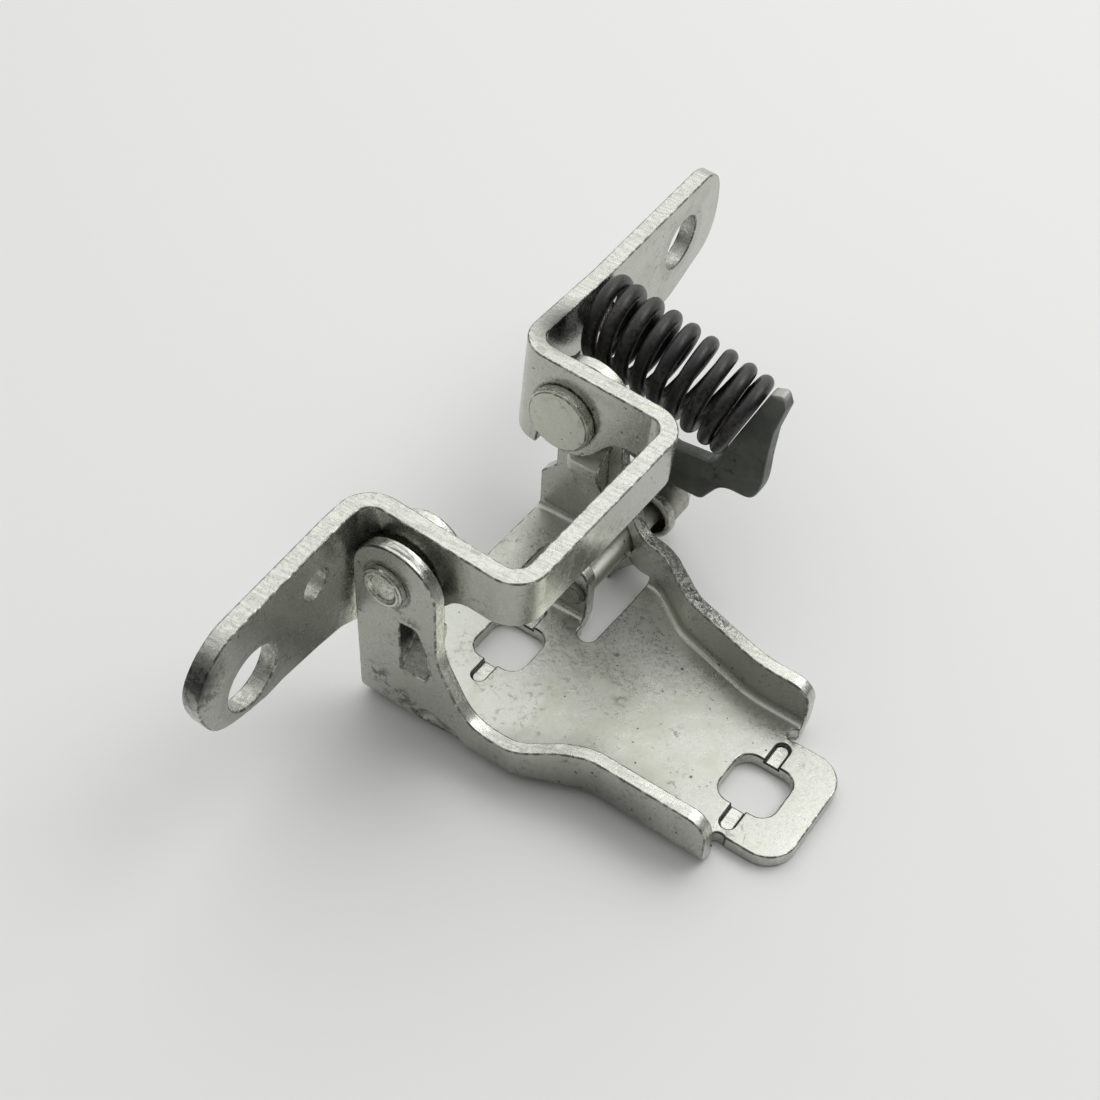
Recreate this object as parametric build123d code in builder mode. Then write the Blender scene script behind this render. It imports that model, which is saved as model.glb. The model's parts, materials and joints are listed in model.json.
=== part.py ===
"""Truck door hinge with a built-in door check.

A folded bracket carries a folded strap on two riveted pins. A check arm hangs on the strap,
rides on a roller at the side of the bracket and is pushed outwards by a coil spring.

Millimetres. Z = 0 is the mounting face under the bracket, Z points out of it.
X runs along the bracket to its end tab, Y runs along the hinge axis.
X = 0 is straight below the hinge axis, Y = 0 is the line of the two square holes.
"""

import os
from math import atan2, cos, degrees, pi, radians, sin

from build123d import *

os.makedirs("parts", exist_ok=True)

# Sheets
BRACKET_T = 4.0
STRAP_T = 5.0
ARM_T = 4.0
BEND_IN = 2.0
BEND_OUT = BEND_IN + BRACKET_T

# Hinge axis, parallel to Y
AXIS_Z = 50.7
REST_TURN = 3.6  # how far the strap has turned from parallel, as photographed

# Bracket plan
WEB_BACK = -10.6
FLANGE_END = 90.0
TAB_END = 106.7
TAB_HALF = 18.0
TAB_CORNER = 8.5
EAR_L = -34.5  # outer face of the left ear
EAR_R = 51.8  # outer face of the right ear
NARROW_L = -27.0
NARROW_R = 28.0
WAIST_R = EAR_R - 7.2
EAR_MID = (EAR_L + EAR_R) / 2

# Ears
EAR_TOP_X = 2.0
EAR_TOP_R = 12.6
EAR_FRONT = EAR_TOP_X + EAR_TOP_R
EAR_CREST = AXIS_Z + EAR_TOP_R
NECK_X = -6.5
NECK_FOOT_Z = 17.0
FLANGE_TOP = 17.0

# Mounting holes
HOLE_SIDE = 16.2
HOLE_CORNER = 4.5
HOLE_X = 12.5
HOLE_PITCH = 77.0
GROOVE_W = 4.0
GROOVE_D = 1.2
GROOVE_REACH = 15.6

# Web window and the tab lanced up from it
WINDOW_X0 = -0.5
WINDOW_X1 = 31.0
WINDOW_Y1 = EAR_R - 13.4
WINDOW_ARCH_X0 = 19.5
WINDOW_ARCH_Y1 = EAR_R - 6.3  # here the window also cuts into the foot of the right wall
WINDOW_ARCH_TOP = 6.5
LANCE_X0 = 10.6
LANCE_X1 = 24.0
LANCE_Y = 19.3
LANCE_TOP = 21.6
LANCE_FOOT_Y = 17.0
RELIEF_Y = 12.6

# Pressed stops in the ears: deep at the top, fading out downwards, with a sheared end at +X
STOP_X0 = -0.5
STOP_X1 = 10.5
STOP_FOOT_Z = 18.0
STOP_DEEP_Z0 = 30.5
STOP_DEEP_Z1 = 34.2
STOP_HEAD_Z = 39.0
STOP_REACH = 6.0
STOP_WALL = 2.6
STOP_SLOT_X0 = 3.3
STOP_SLOT_X1 = 13.0
STOP_SLOT_FLAT = 1.2  # beyond this the hollow rises evenly towards +X

# Pockets pressed into the bends below the ears
POCKET_X0 = 12.3
POCKET_X1 = 17.8
POCKET_OUT = 1.3
POCKET_Z = 3.4
POCKET_R = 4.6

# Roller, axle and bushes
ROLLER_X = 20.0
ROLLER_Z = 12.3
AXLE_R = 3.4
ROLLER_Y0 = EAR_R + 3.2
ROLLER_RING = 3.0
ROLLER_Y1 = ROLLER_Y0 + 12.3
RING_R = 7.9
DRUM_R = 6.9
ROLLER_HOLLOW_R = 6.2
ROLLER_HOLLOW_DEPTH = 6.5
ROLLER_BUSH_R = 4.8
RUN_FIT = 0.05

# Pivot pins
PIN_R = 5.0
RIVET_R = 4.0
HEAD_R = 9.75
HEAD_T = 3.3
RIVET_HEAD_R = 6.05
RIVET_HEAD_T = 2.3
DISH_R = 4.3
DISH_DEPTH = 0.8
BUSH_R = 6.0
BUSH_FLANGE_R = 7.0
BUSH_FLANGE_T = 1.0
WASHER_R = 9.6
SIDE_PLAY = 0.1

# Strap plan, seen along the turned strap's own Z
LEG_GAP = 2.7  # between each leg and its ear, filled by the bush flange and the washer
LEG_L = EAR_L + BRACKET_T + LEG_GAP  # outer face of the left leg
LEG_R = EAR_R - BRACKET_T - LEG_GAP  # outer face of the right leg
CROSS_X = 34.6
WING_L_X = -11.5
WING_L_FAR_X = -7.9
WING_L_SKEW_Y = LEG_L - 10.2
WING_R_X = -13.2
WING_R_FAR_X = -16.3
WING_SKEW_Y = LEG_R + 31.9
WING_L_END = LEG_L - 68.2
WING_R_END = LEG_R + 104.9
WING_L_TURN = 3.55  # how far the left wing is bent out of the strap's square, in degrees
WING_R_TURN = 2.43
STRAP_TOP = 15.9
STRAP_LOW = 0.0
LOBE_R = 13.3
WING_FOOT = -26.2
RIGHT_FOOT = -15.5

# Check arm, at its own level beside the bracket
ARM_Y0 = EAR_R + 11.2
ARM_Y1 = ARM_Y0 + ARM_T
ARM_PIN_R = 2.5
ARM_EYE_R = 6.0
ARM_PIN_HALF = 8.0
SLOT_SIDE_PLAY = 0.5
SLOT_TOP = -4.6

# Coil spring
WIRE_R = 2.2
COIL_R = 10.4
SPRING_TURNS = 8.75
SPRING_PHASE = -27.0
END_PITCH = 4.5
SPRING_START = (-10.2, ARM_Y0 + 10, 58.0)
SPRING_END = (40.7, ARM_Y0 + ARM_T / 2, 54.6)
SEAT_LEAN = 24.5


def side(y):
    """A plane at this y that looks along -Y, so that its local x is X and its local y is Z."""
    return Plane.XZ.offset(-y)


def turned(x, z):
    """A point given in the turned strap's own x and z, in the part's X and Z."""
    a = radians(REST_TURN)
    return x * cos(a) + z * sin(a), AXIS_Z - x * sin(a) + z * cos(a)


lean = radians(REST_TURN)
STRAP_X_DIR = (cos(lean), 0, -sin(lean))
STRAP_Z_DIR = (sin(lean), 0, cos(lean))
strap_plan_plane = Plane(origin=(0, 0, AXIS_Z), x_dir=STRAP_X_DIR, z_dir=STRAP_Z_DIR)
strap_side_plane = Plane(origin=(0, 0, AXIS_Z), x_dir=STRAP_X_DIR, z_dir=(0, -1, 0))
strap_front_plane = Plane(origin=(0, 0, AXIS_Z), x_dir=(0, 1, 0), z_dir=STRAP_X_DIR)

# Stop form pushed in from the ear sheet, and the hollow behind it
EAR_L_IN = EAR_L + BRACKET_T
with BuildPart() as stop_form:
    with BuildSketch(Plane.YZ.offset(STOP_X0)) as stop_side:
        with BuildLine():
            Polyline(
                (EAR_L + 0.2, STOP_FOOT_Z),
                (EAR_L_IN, STOP_FOOT_Z),
                (EAR_L_IN + STOP_REACH, STOP_DEEP_Z0),
                (EAR_L_IN + STOP_REACH, STOP_DEEP_Z1),
                (EAR_L_IN, STOP_HEAD_Z),
                (EAR_L + 0.2, STOP_HEAD_Z),
                close=True,
            )
        make_face()
        fillet(
            stop_side.vertices().filter_by(lambda v: v.X > EAR_L_IN + 1),
            radius=2.4,
        )
    extrude(amount=STOP_X1 - STOP_X0)
    fillet(
        stop_form.edges()
        .filter_by_position(Axis.X, STOP_X0 - 0.01, STOP_X0 + 0.01)
        .filter_by(lambda e: e.center().Y > EAR_L + 0.5),
        radius=2.8,
    )

with BuildPart() as stop_hollow:
    with BuildSketch(Plane.XY.offset(STOP_FOOT_Z)) as slot_floor:
        with BuildLine():
            Polyline(
                (STOP_SLOT_X0, EAR_L - 1),
                (STOP_SLOT_X0, EAR_L_IN + STOP_REACH - STOP_WALL),
                (STOP_SLOT_X0 + STOP_SLOT_FLAT, EAR_L_IN + STOP_REACH - STOP_WALL),
                (STOP_SLOT_X1 - 0.4, EAR_L + 0.8),
                (STOP_SLOT_X1 + 1, EAR_L - 1),
                close=True,
            )
        make_face()
    extrude(amount=STOP_HEAD_Z - STOP_FOOT_Z + 1)
    with BuildSketch(side(EAR_L - 1)) as slot_mouth:
        with BuildLine():
            Polyline(
                (STOP_SLOT_X0, STOP_FOOT_Z + 3),
                (STOP_SLOT_X0, STOP_HEAD_Z - 0.4),
                (STOP_SLOT_X0 + 3.6, STOP_HEAD_Z),
                (STOP_SLOT_X1 - 4.4, STOP_HEAD_Z),
                (STOP_SLOT_X1 - 1.4, STOP_HEAD_Z - 7),
                (STOP_SLOT_X1, STOP_HEAD_Z - 14),
                (STOP_SLOT_X1 - 3, STOP_HEAD_Z - 19),
                close=True,
            )
        make_face()
        fillet(
            slot_mouth.vertices().filter_by(lambda v: v.X > STOP_SLOT_X0 + 4.5),
            radius=1.4,
        )
    extrude(amount=-(BRACKET_T + STOP_REACH + 2), mode=Mode.INTERSECT)
    with BuildSketch(Plane.YZ.offset(STOP_SLOT_X0)) as slot_side:
        with BuildLine():
            Polyline(
                (EAR_L - 1, STOP_FOOT_Z + 1.5),
                (EAR_L, STOP_FOOT_Z + 3),
                (EAR_L_IN + STOP_REACH - STOP_WALL, STOP_DEEP_Z0 + 0.3),
                (EAR_L_IN + STOP_REACH - STOP_WALL, STOP_HEAD_Z - 2.6),
                (EAR_L + 2, STOP_HEAD_Z - 0.6),
                (EAR_L - 1, STOP_HEAD_Z + 1),
                close=True,
            )
        make_face()
        fillet(
            slot_side.vertices().filter_by(lambda v: v.X > EAR_L_IN + 1),
            radius=1.2,
        )
    extrude(amount=STOP_SLOT_X1 - STOP_SLOT_X0 + 1, mode=Mode.INTERSECT)

with BuildPart() as bend_pocket:
    with Locations(
        (POCKET_X0, EAR_L - POCKET_OUT, POCKET_Z + 1.6),
        (POCKET_X1, EAR_L - POCKET_OUT, POCKET_Z),
    ):
        Sphere(POCKET_R)
    with Locations(((POCKET_X0 + POCKET_X1) / 2, EAR_L - POCKET_OUT, POCKET_Z + 0.8)):
        Cylinder(
            POCKET_R - 0.05,
            POCKET_X1 - POCKET_X0,
            rotation=(0, 90 + degrees(atan2(1.6, POCKET_X1 - POCKET_X0)), 0),
        )

# Bracket: one folded sheet with two ears, a lanced tab and a flat end tab
with BuildPart() as base_bracket:
    with BuildSketch() as bracket_plan:
        with BuildLine():
            Polyline(
                (WEB_BACK - 30, EAR_L),
                (38, EAR_L),
                (56, NARROW_L),
                (FLANGE_END + 6, NARROW_L),
                (FLANGE_END + 6, NARROW_R),
                (75, NARROW_R),
                (50, 35),
                (36, WAIST_R),
                (27, WAIST_R),
                (17, EAR_R),
                (WEB_BACK - 30, EAR_R),
                close=True,
            )
        make_face()
        fillet(
            bracket_plan.vertices().filter_by(lambda v: 16 < v.X < 30),
            radius=9,
        )
        fillet(
            bracket_plan.vertices().filter_by(lambda v: 34 < v.X < 60),
            radius=14,
        )
        fillet(
            bracket_plan.vertices().filter_by(lambda v: 70 < v.X < 80),
            radius=40,
        )
    extrude(amount=EAR_CREST + 1)
    fillet(base_bracket.edges().group_by(Axis.Z)[0], radius=BEND_OUT)
    with BuildSketch(Plane.XY.offset(BRACKET_T)):
        add(bracket_plan.sketch_local)
        offset(amount=-BRACKET_T, kind=Kind.INTERSECTION, mode=Mode.REPLACE)
    extrude(amount=EAR_CREST + 1, mode=Mode.SUBTRACT)
    fillet(
        base_bracket.edges().filter_by_position(
            Axis.Z, BRACKET_T - 0.01, BRACKET_T + 0.01
        ),
        radius=BEND_IN,
    )
    # outline of the left wall and its ear
    with BuildSketch(side(0)):
        with Locations((50, 40)):
            Rectangle(240, 120)
        with BuildLine():
            Line((WEB_BACK, -5), (WEB_BACK, AXIS_Z))
            ThreePointArc(
                (WEB_BACK, AXIS_Z), (EAR_TOP_X, EAR_CREST), (EAR_FRONT, AXIS_Z)
            )
            Line((EAR_FRONT, AXIS_Z), (EAR_FRONT, 35))
            Spline(
                (EAR_FRONT, 35),
                (18.3, 23.7),
                (24.6, 14.5),
                (33, 12.6),
                (44, 15),
                (54, FLANGE_TOP),
                tangents=[(0, -1), (1, 0)],
            )
            Line((54, FLANGE_TOP), (FLANGE_END - 6, FLANGE_TOP))
            RadiusArc(
                (FLANGE_END - 6, FLANGE_TOP), (FLANGE_END, FLANGE_TOP - 6), 6
            )
            Line((FLANGE_END, FLANGE_TOP - 6), (FLANGE_END, -5))
            Line((FLANGE_END, -5), (WEB_BACK, -5))
        make_face(mode=Mode.SUBTRACT)
    extrude(amount=60, mode=Mode.SUBTRACT)
    # outline of the right wall, whose ear stands on a narrower neck
    with BuildSketch(side(0)) as right_trim:
        with Locations((50, 40)):
            Rectangle(240, 120)
        with BuildLine():
            Polyline(
                (WEB_BACK - 0.9, -5),
                (WEB_BACK - 0.9, NECK_FOOT_Z),
                (NECK_X, NECK_FOOT_Z + 5.5),
                (NECK_X, 41.4),
            )
            ThreePointArc((NECK_X, 41.4), (EAR_TOP_X, EAR_CREST), (EAR_FRONT, AXIS_Z))
            Line((EAR_FRONT, AXIS_Z), (EAR_FRONT, 37))
            Spline(
                (EAR_FRONT, 37),
                (18, 28.6),
                (22, 23.2),
                (27, 19.7),
                (34, 18),
                (46, FLANGE_TOP),
                tangents=[(0, -1), (1, 0)],
            )
            Line((46, FLANGE_TOP), (FLANGE_END - 6, FLANGE_TOP))
            RadiusArc(
                (FLANGE_END - 6, FLANGE_TOP), (FLANGE_END, FLANGE_TOP - 6), 6
            )
            Line((FLANGE_END, FLANGE_TOP - 6), (FLANGE_END, -5))
            Line((FLANGE_END, -5), (WEB_BACK - 0.9, -5))
        make_face(mode=Mode.SUBTRACT)
    extrude(amount=-70, mode=Mode.SUBTRACT)
    # flat end tab with bend reliefs at its neck
    with BuildSketch() as end_tab:
        with Locations(((FLANGE_END - 8 + TAB_END) / 2, 0)):
            Rectangle(TAB_END - FLANGE_END + 8, 2 * TAB_HALF)
        fillet(
            end_tab.vertices().filter_by(lambda v: v.X > FLANGE_END + 2),
            radius=TAB_CORNER,
        )
    extrude(amount=BRACKET_T)
    with BuildSketch(Plane.XY.offset(-1)):
        with Locations((FLANGE_END, TAB_HALF + 1.6), (FLANGE_END, -TAB_HALF - 1.6)):
            Circle(2.0)
    extrude(amount=BRACKET_T + 2, mode=Mode.SUBTRACT)
    # window, with a relief beside the lanced tab
    with BuildSketch(Plane.XY.offset(-1)) as window:
        with BuildLine():
            Polyline(
                (WINDOW_X0, LANCE_FOOT_Y),
                (LANCE_X1 + 0.8, LANCE_FOOT_Y),
                (LANCE_X1 + 0.8, RELIEF_Y),
                (WINDOW_X1 - 0.6, RELIEF_Y),
                (WINDOW_X1, WINDOW_Y1),
                (WINDOW_X0, WINDOW_Y1),
                close=True,
            )
        make_face()
        fillet(
            window.vertices().filter_by(
                lambda v: v.X > LANCE_X1 and v.Y < LANCE_FOOT_Y - 1
            ),
            radius=2.8,
        )
        fillet(window.vertices().filter_by(lambda v: v.Y > WINDOW_Y1 - 1), radius=5)
    extrude(amount=BRACKET_T + 1.5, mode=Mode.SUBTRACT)
    with BuildSketch(Plane.XY.offset(-1)) as window_arch:
        with BuildLine():
            Polyline(
                (WINDOW_ARCH_X0, WINDOW_Y1 - 4),
                (WINDOW_X1 - 0.2, WINDOW_Y1 - 4),
                (WINDOW_X1 - 0.2, WINDOW_ARCH_Y1),
                (WINDOW_ARCH_X0, WINDOW_ARCH_Y1),
                close=True,
            )
        make_face()
        fillet(
            window_arch.vertices().filter_by(lambda v: v.Y > WINDOW_Y1),
            radius=4.5,
        )
    extrude(amount=WINDOW_ARCH_TOP + 1, mode=Mode.SUBTRACT)
    # lanced tab that carries one end of the roller axle
    with BuildSketch(Plane.YZ.offset(LANCE_X0)) as lance:
        with BuildLine():
            Polyline(
                (LANCE_FOOT_Y - 2, 0),
                (LANCE_Y + BRACKET_T, 0),
                (LANCE_Y + BRACKET_T, LANCE_TOP),
                (LANCE_Y, LANCE_TOP),
                (LANCE_Y, BRACKET_T),
                (LANCE_FOOT_Y - 2, BRACKET_T),
                close=True,
            )
        make_face()
        fillet(
            lance.vertices().filter_by(lambda v: v.X > LANCE_Y + 1 and v.Y < 1),
            radius=BEND_OUT,
        )
        fillet(
            lance.vertices().filter_by(
                lambda v: abs(v.X - LANCE_Y) < 0.1 and abs(v.Y - BRACKET_T) < 0.1
            ),
            radius=BEND_IN,
        )
    extrude(amount=LANCE_X1 - LANCE_X0)
    fillet(
        base_bracket.edges()
        .filter_by(Axis.Y)
        .filter_by_position(Axis.Z, LANCE_TOP - 0.1, LANCE_TOP + 0.1),
        radius=5.0,
    )
    # pressed stops, then the slots behind them
    add(stop_form.part)
    mirror(stop_form.part, about=side(EAR_MID))
    add(stop_hollow.part, mode=Mode.SUBTRACT)
    mirror(stop_hollow.part, about=side(EAR_MID), mode=Mode.SUBTRACT)
    add(bend_pocket.part, mode=Mode.SUBTRACT)
    mirror(bend_pocket.part, about=side(EAR_MID), mode=Mode.SUBTRACT)
    # pin holes in the ears, axle holes in tab and wall
    with BuildSketch(side(EAR_L - 1)):
        with Locations((0, AXIS_Z)):
            Circle(RIVET_R)
    extrude(amount=-(EAR_R - EAR_L + 2), mode=Mode.SUBTRACT)
    with BuildSketch(side(LANCE_Y - 1)):
        with Locations((ROLLER_X, ROLLER_Z)):
            Circle(AXLE_R)
    extrude(amount=-(BRACKET_T + 2), mode=Mode.SUBTRACT)
    with BuildSketch(side(WINDOW_Y1)):
        with Locations((ROLLER_X, ROLLER_Z)):
            Circle(AXLE_R + 0.6)
    extrude(amount=-(EAR_R - WINDOW_Y1 + 2), mode=Mode.SUBTRACT)
    # square holes with a shallow coined groove on both sides
    with BuildSketch(Plane.XY.offset(-1)):
        with Locations((HOLE_X, 0), (HOLE_X + HOLE_PITCH, 0)):
            RectangleRounded(HOLE_SIDE, HOLE_SIDE, HOLE_CORNER)
    extrude(amount=BRACKET_T + 2, mode=Mode.SUBTRACT)
    with BuildSketch(Plane.XY.offset(BRACKET_T - GROOVE_D)):
        with Locations((HOLE_X, 0), (HOLE_X + HOLE_PITCH, 0)):
            SlotOverall(2 * GROOVE_REACH, GROOVE_W, rotation=90)
    extrude(amount=GROOVE_D + 1, mode=Mode.SUBTRACT)
base_bracket.part.label = "base_bracket"

# Strap: one folded sheet with two wings, two legs and a cross bar
with BuildPart() as strap:
    with BuildSketch(strap_plan_plane.offset(-60)) as strap_plan:
        with BuildLine():
            Polyline(
                (WING_L_FAR_X, WING_L_END),
                (WING_L_X, WING_L_SKEW_Y),
                (WING_L_X, LEG_L),
                (CROSS_X, LEG_L),
                (CROSS_X, LEG_R),
                (WING_R_X, LEG_R),
                (WING_R_X, WING_SKEW_Y),
                (WING_R_FAR_X, WING_R_END),
                (WING_R_FAR_X - STRAP_T, WING_R_END),
                (WING_R_X - STRAP_T, WING_SKEW_Y),
                (WING_R_X - STRAP_T, LEG_R - STRAP_T),
                (CROSS_X - STRAP_T, LEG_R - STRAP_T),
                (CROSS_X - STRAP_T, LEG_L + STRAP_T),
                (WING_L_X - STRAP_T, LEG_L + STRAP_T),
                (WING_L_X - STRAP_T, WING_L_SKEW_Y),
                (WING_L_FAR_X - STRAP_T, WING_L_END),
                close=True,
            )
        make_face()
        plan_corners = strap_plan.vertices()
        fillet(
            plan_corners.filter_by(
                lambda v: v.X > CROSS_X - 1 or v.X < 0 and LEG_L + 1 < v.Y < LEG_R - 1
            ),
            radius=9.5,
        )
        plan_corners = strap_plan.vertices()
        fillet(
            [
                plan_corners.sort_by_distance(Vector(*corner))[0]
                for corner in (
                    (WING_L_X, LEG_L),
                    (WING_R_X, LEG_R),
                    (CROSS_X - STRAP_T, LEG_L + STRAP_T),
                    (CROSS_X - STRAP_T, LEG_R - STRAP_T),
                )
            ],
            radius=4.5,
        )
    extrude(amount=60 + STRAP_TOP + 1)
    # lower edge of the legs and cross bar: a lobe round each pin, then straight
    with BuildSketch(strap_side_plane) as leg_trim:
        with BuildLine():
            Polyline(
                (-9.0, WING_FOOT),
                (-LOBE_R * sin(0.6), -LOBE_R * cos(0.6)),
            )
            ThreePointArc(
                (-LOBE_R * sin(0.6), -LOBE_R * cos(0.6)),
                (0, -LOBE_R),
                (LOBE_R * cos(0.5), -LOBE_R * sin(0.5)),
            )
            Polyline(
                (LOBE_R * cos(0.5), -LOBE_R * sin(0.5)),
                (16.5, STRAP_LOW),
                (CROSS_X + 2, STRAP_LOW),
                (CROSS_X + 2, -70),
                (-9.0, -70),
                (-9.0, WING_FOOT),
            )
        make_face()
        fillet(
            leg_trim.vertices().filter_by(
                lambda v: 14 < v.X < 18 and v.Y > -3
            ),
            radius=8,
        )
    extrude(amount=40, mode=Mode.SUBTRACT)
    extrude(leg_trim.sketch, amount=-60, mode=Mode.SUBTRACT)
    # outlines of both wings, seen along X
    with BuildSketch(strap_front_plane.offset(-60)):
        with BuildLine():
            Line((0, STRAP_TOP), (LEG_L - 48.2, STRAP_TOP))
            Spline(
                (LEG_L - 48.2, STRAP_TOP),
                (LEG_L - 55.8, 13.6),
                (LEG_L - 62.6, 5.2),
                (LEG_L - 61.8, -4.5),
                (LEG_L - 57.7, -12.0),
                (LEG_L - 51.5, -15.6),
                (LEG_L - 39.7, -18.8),
            )
            Polyline(
                (LEG_L - 39.7, -18.8),
                (LEG_L - 33.4, -18.9),
                (LEG_L - 20, -21.0),
                (LEG_L - 10, -23.2),
                (LEG_L - 3.2, WING_FOOT),
                (0, WING_FOOT),
                (0, RIGHT_FOOT),
                (LEG_R + 10.9, RIGHT_FOOT),
                (LEG_R + 26.9, -21.7),
                (LEG_R + 66.9, -21.6),
            )
            Spline(
                (LEG_R + 66.9, -21.6),
                (LEG_R + 77.9, -20.9),
                (LEG_R + 87.9, -16.9),
                (LEG_R + 96.1, -12.9),
                (LEG_R + 99.1, -7.4),
                (LEG_R + 99.5, 1.0),
                (LEG_R + 96.5, 11.1),
                (LEG_R + 87.9, STRAP_TOP),
            )
            Line((LEG_R + 87.9, STRAP_TOP), (0, STRAP_TOP))
        make_face()
    extrude(amount=120, mode=Mode.INTERSECT)
    # bush seats through both legs
    with BuildSketch(Plane(origin=(0, LEG_L - 1, AXIS_Z), z_dir=(0, 1, 0))):
        Circle(BUSH_R)
    extrude(amount=LEG_R - LEG_L + 2, mode=Mode.SUBTRACT)
    # holes in the wings, each square to its own wing
    for hole_y, hole_z, hole_r, wing_x, wing_turn in (
        (LEG_L - 44.2, -6.4, 9.0, -11.9, WING_L_TURN),
        (LEG_L - 19.8, 3.6, 4.5, -13.4, WING_L_TURN),
        (LEG_R + 77.3, -1.2, 8.5, -17.6, WING_R_TURN),
    ):
        hole_x, hole_height = turned(wing_x, hole_z)
        with BuildSketch(
            Plane(
                origin=(hole_x, hole_y, hole_height),
                z_dir=(
                    cos(lean) * cos(radians(wing_turn)),
                    sin(radians(wing_turn)),
                    -sin(lean) * cos(radians(wing_turn)),
                ),
            )
        ):
            Circle(hole_r)
        extrude(amount=STRAP_T + 2, both=True, mode=Mode.SUBTRACT)
    # notch that lets the check arm through the right wing
    with BuildSketch(strap_front_plane.offset(-40)) as arm_notch:
        with BuildLine():
            Polyline(
                (ARM_Y0 - SLOT_SIDE_PLAY, -40),
                (ARM_Y1 + SLOT_SIDE_PLAY, -40),
                (ARM_Y1 + SLOT_SIDE_PLAY, SLOT_TOP),
                (ARM_Y0 - SLOT_SIDE_PLAY, SLOT_TOP),
                close=True,
            )
        make_face()
    extrude(amount=40, mode=Mode.SUBTRACT)
    # pressed nose that centres the spring on the right wing
    with BuildSketch(
        Plane(
            origin=(turned(WING_R_X - 1, 7.3)[0], SPRING_START[1], SPRING_START[2]),
            x_dir=(0, 1, 0),
            z_dir=STRAP_X_DIR,
        )
    ):
        Circle(5.6)
    extrude(amount=4.6, taper=12)
strap.part.label = "strap"

# Pivot hardware of one side: pin, flanged bush and washer, all round the hinge axis
left_axis = Plane(origin=(0, LEG_L + STRAP_T, AXIS_Z), x_dir=(1, 0, 0), z_dir=(0, -1, 0))
right_axis = Plane(origin=(0, LEG_R - STRAP_T, AXIS_Z), x_dir=(1, 0, 0), z_dir=(0, 1, 0))
SHANK = LEG_L - EAR_L - BRACKET_T + STRAP_T  # inner face of the leg to inner face of the ear
HEAD_SPACER_T = 3.4

with BuildPart(left_axis) as head_spacer_left:
    with BuildSketch(left_axis.offset(-HEAD_SPACER_T - SIDE_PLAY)):
        Circle(PIN_R + 2.6)
        Circle(PIN_R + RUN_FIT, mode=Mode.SUBTRACT)
    extrude(amount=HEAD_SPACER_T)
head_spacer_left.part.label = "head_spacer_left"

with BuildPart() as pivot_pin_left:
    with BuildSketch(left_axis.offset(-HEAD_SPACER_T - 2 * SIDE_PLAY - HEAD_T)):
        Circle(HEAD_R)
    extrude(amount=HEAD_T)
    chamfer(pivot_pin_left.edges().group_by(Axis.Y)[-1], length=0.6)
    with BuildSketch(left_axis.offset(-HEAD_SPACER_T - 2 * SIDE_PLAY)):
        Circle(PIN_R)
    extrude(amount=HEAD_SPACER_T + 2 * SIDE_PLAY + SHANK)
    with BuildSketch(left_axis.offset(SHANK)):
        Circle(RIVET_R)
    extrude(amount=BRACKET_T)
    with BuildSketch(left_axis.offset(SHANK + BRACKET_T)):
        Circle(RIVET_HEAD_R)
    extrude(amount=RIVET_HEAD_T)
    chamfer(pivot_pin_left.edges().group_by(Axis.Y)[0], length=0.7)
    with BuildSketch(left_axis.offset(SHANK + BRACKET_T + RIVET_HEAD_T)):
        Circle(DISH_R)
    extrude(amount=-DISH_DEPTH, taper=35, mode=Mode.SUBTRACT)
pivot_pin_left.part.label = "pivot_pin_left"

with BuildPart() as pivot_pin_right:
    with BuildSketch(right_axis.offset(-SIDE_PLAY - HEAD_T)):
        Circle(HEAD_R)
    extrude(amount=HEAD_T)
    chamfer(pivot_pin_right.edges().group_by(Axis.Y)[0], length=0.6)
    with BuildSketch(right_axis.offset(-SIDE_PLAY)):
        Circle(PIN_R)
    extrude(amount=SIDE_PLAY + SHANK)
    with BuildSketch(right_axis.offset(SHANK)):
        Circle(RIVET_R)
    extrude(amount=BRACKET_T)
    with BuildSketch(right_axis.offset(SHANK + BRACKET_T)):
        Circle(RIVET_HEAD_R)
    extrude(amount=RIVET_HEAD_T)
    chamfer(pivot_pin_right.edges().group_by(Axis.Y)[-1], length=0.7)
    with BuildSketch(right_axis.offset(SHANK + BRACKET_T + RIVET_HEAD_T)):
        Circle(DISH_R)
    extrude(amount=-DISH_DEPTH, taper=35, mode=Mode.SUBTRACT)
pivot_pin_right.part.label = "pivot_pin_right"

with BuildPart() as flanged_bush:
    with BuildSketch():
        Circle(BUSH_R)
        Circle(PIN_R + RUN_FIT, mode=Mode.SUBTRACT)
    extrude(amount=STRAP_T)
    with BuildSketch(Plane.XY.offset(STRAP_T)):
        Circle(BUSH_FLANGE_R)
        Circle(PIN_R + RUN_FIT, mode=Mode.SUBTRACT)
    extrude(amount=BUSH_FLANGE_T)

with BuildPart() as thrust_washer:
    with BuildSketch(
        Plane.XY.offset(STRAP_T + BUSH_FLANGE_T + SIDE_PLAY)
    ):
        Circle(WASHER_R)
        Circle(PIN_R + RUN_FIT, mode=Mode.SUBTRACT)
    extrude(amount=SHANK - STRAP_T - BUSH_FLANGE_T - SIDE_PLAY)

bush_left = left_axis.location * flanged_bush.part
bush_left.label = "bush_left"
bush_right = right_axis.location * flanged_bush.part
bush_right.label = "bush_right"
washer_left = left_axis.location * thrust_washer.part
washer_left.label = "washer_left"
washer_right = right_axis.location * thrust_washer.part
washer_right.label = "washer_right"

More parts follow.
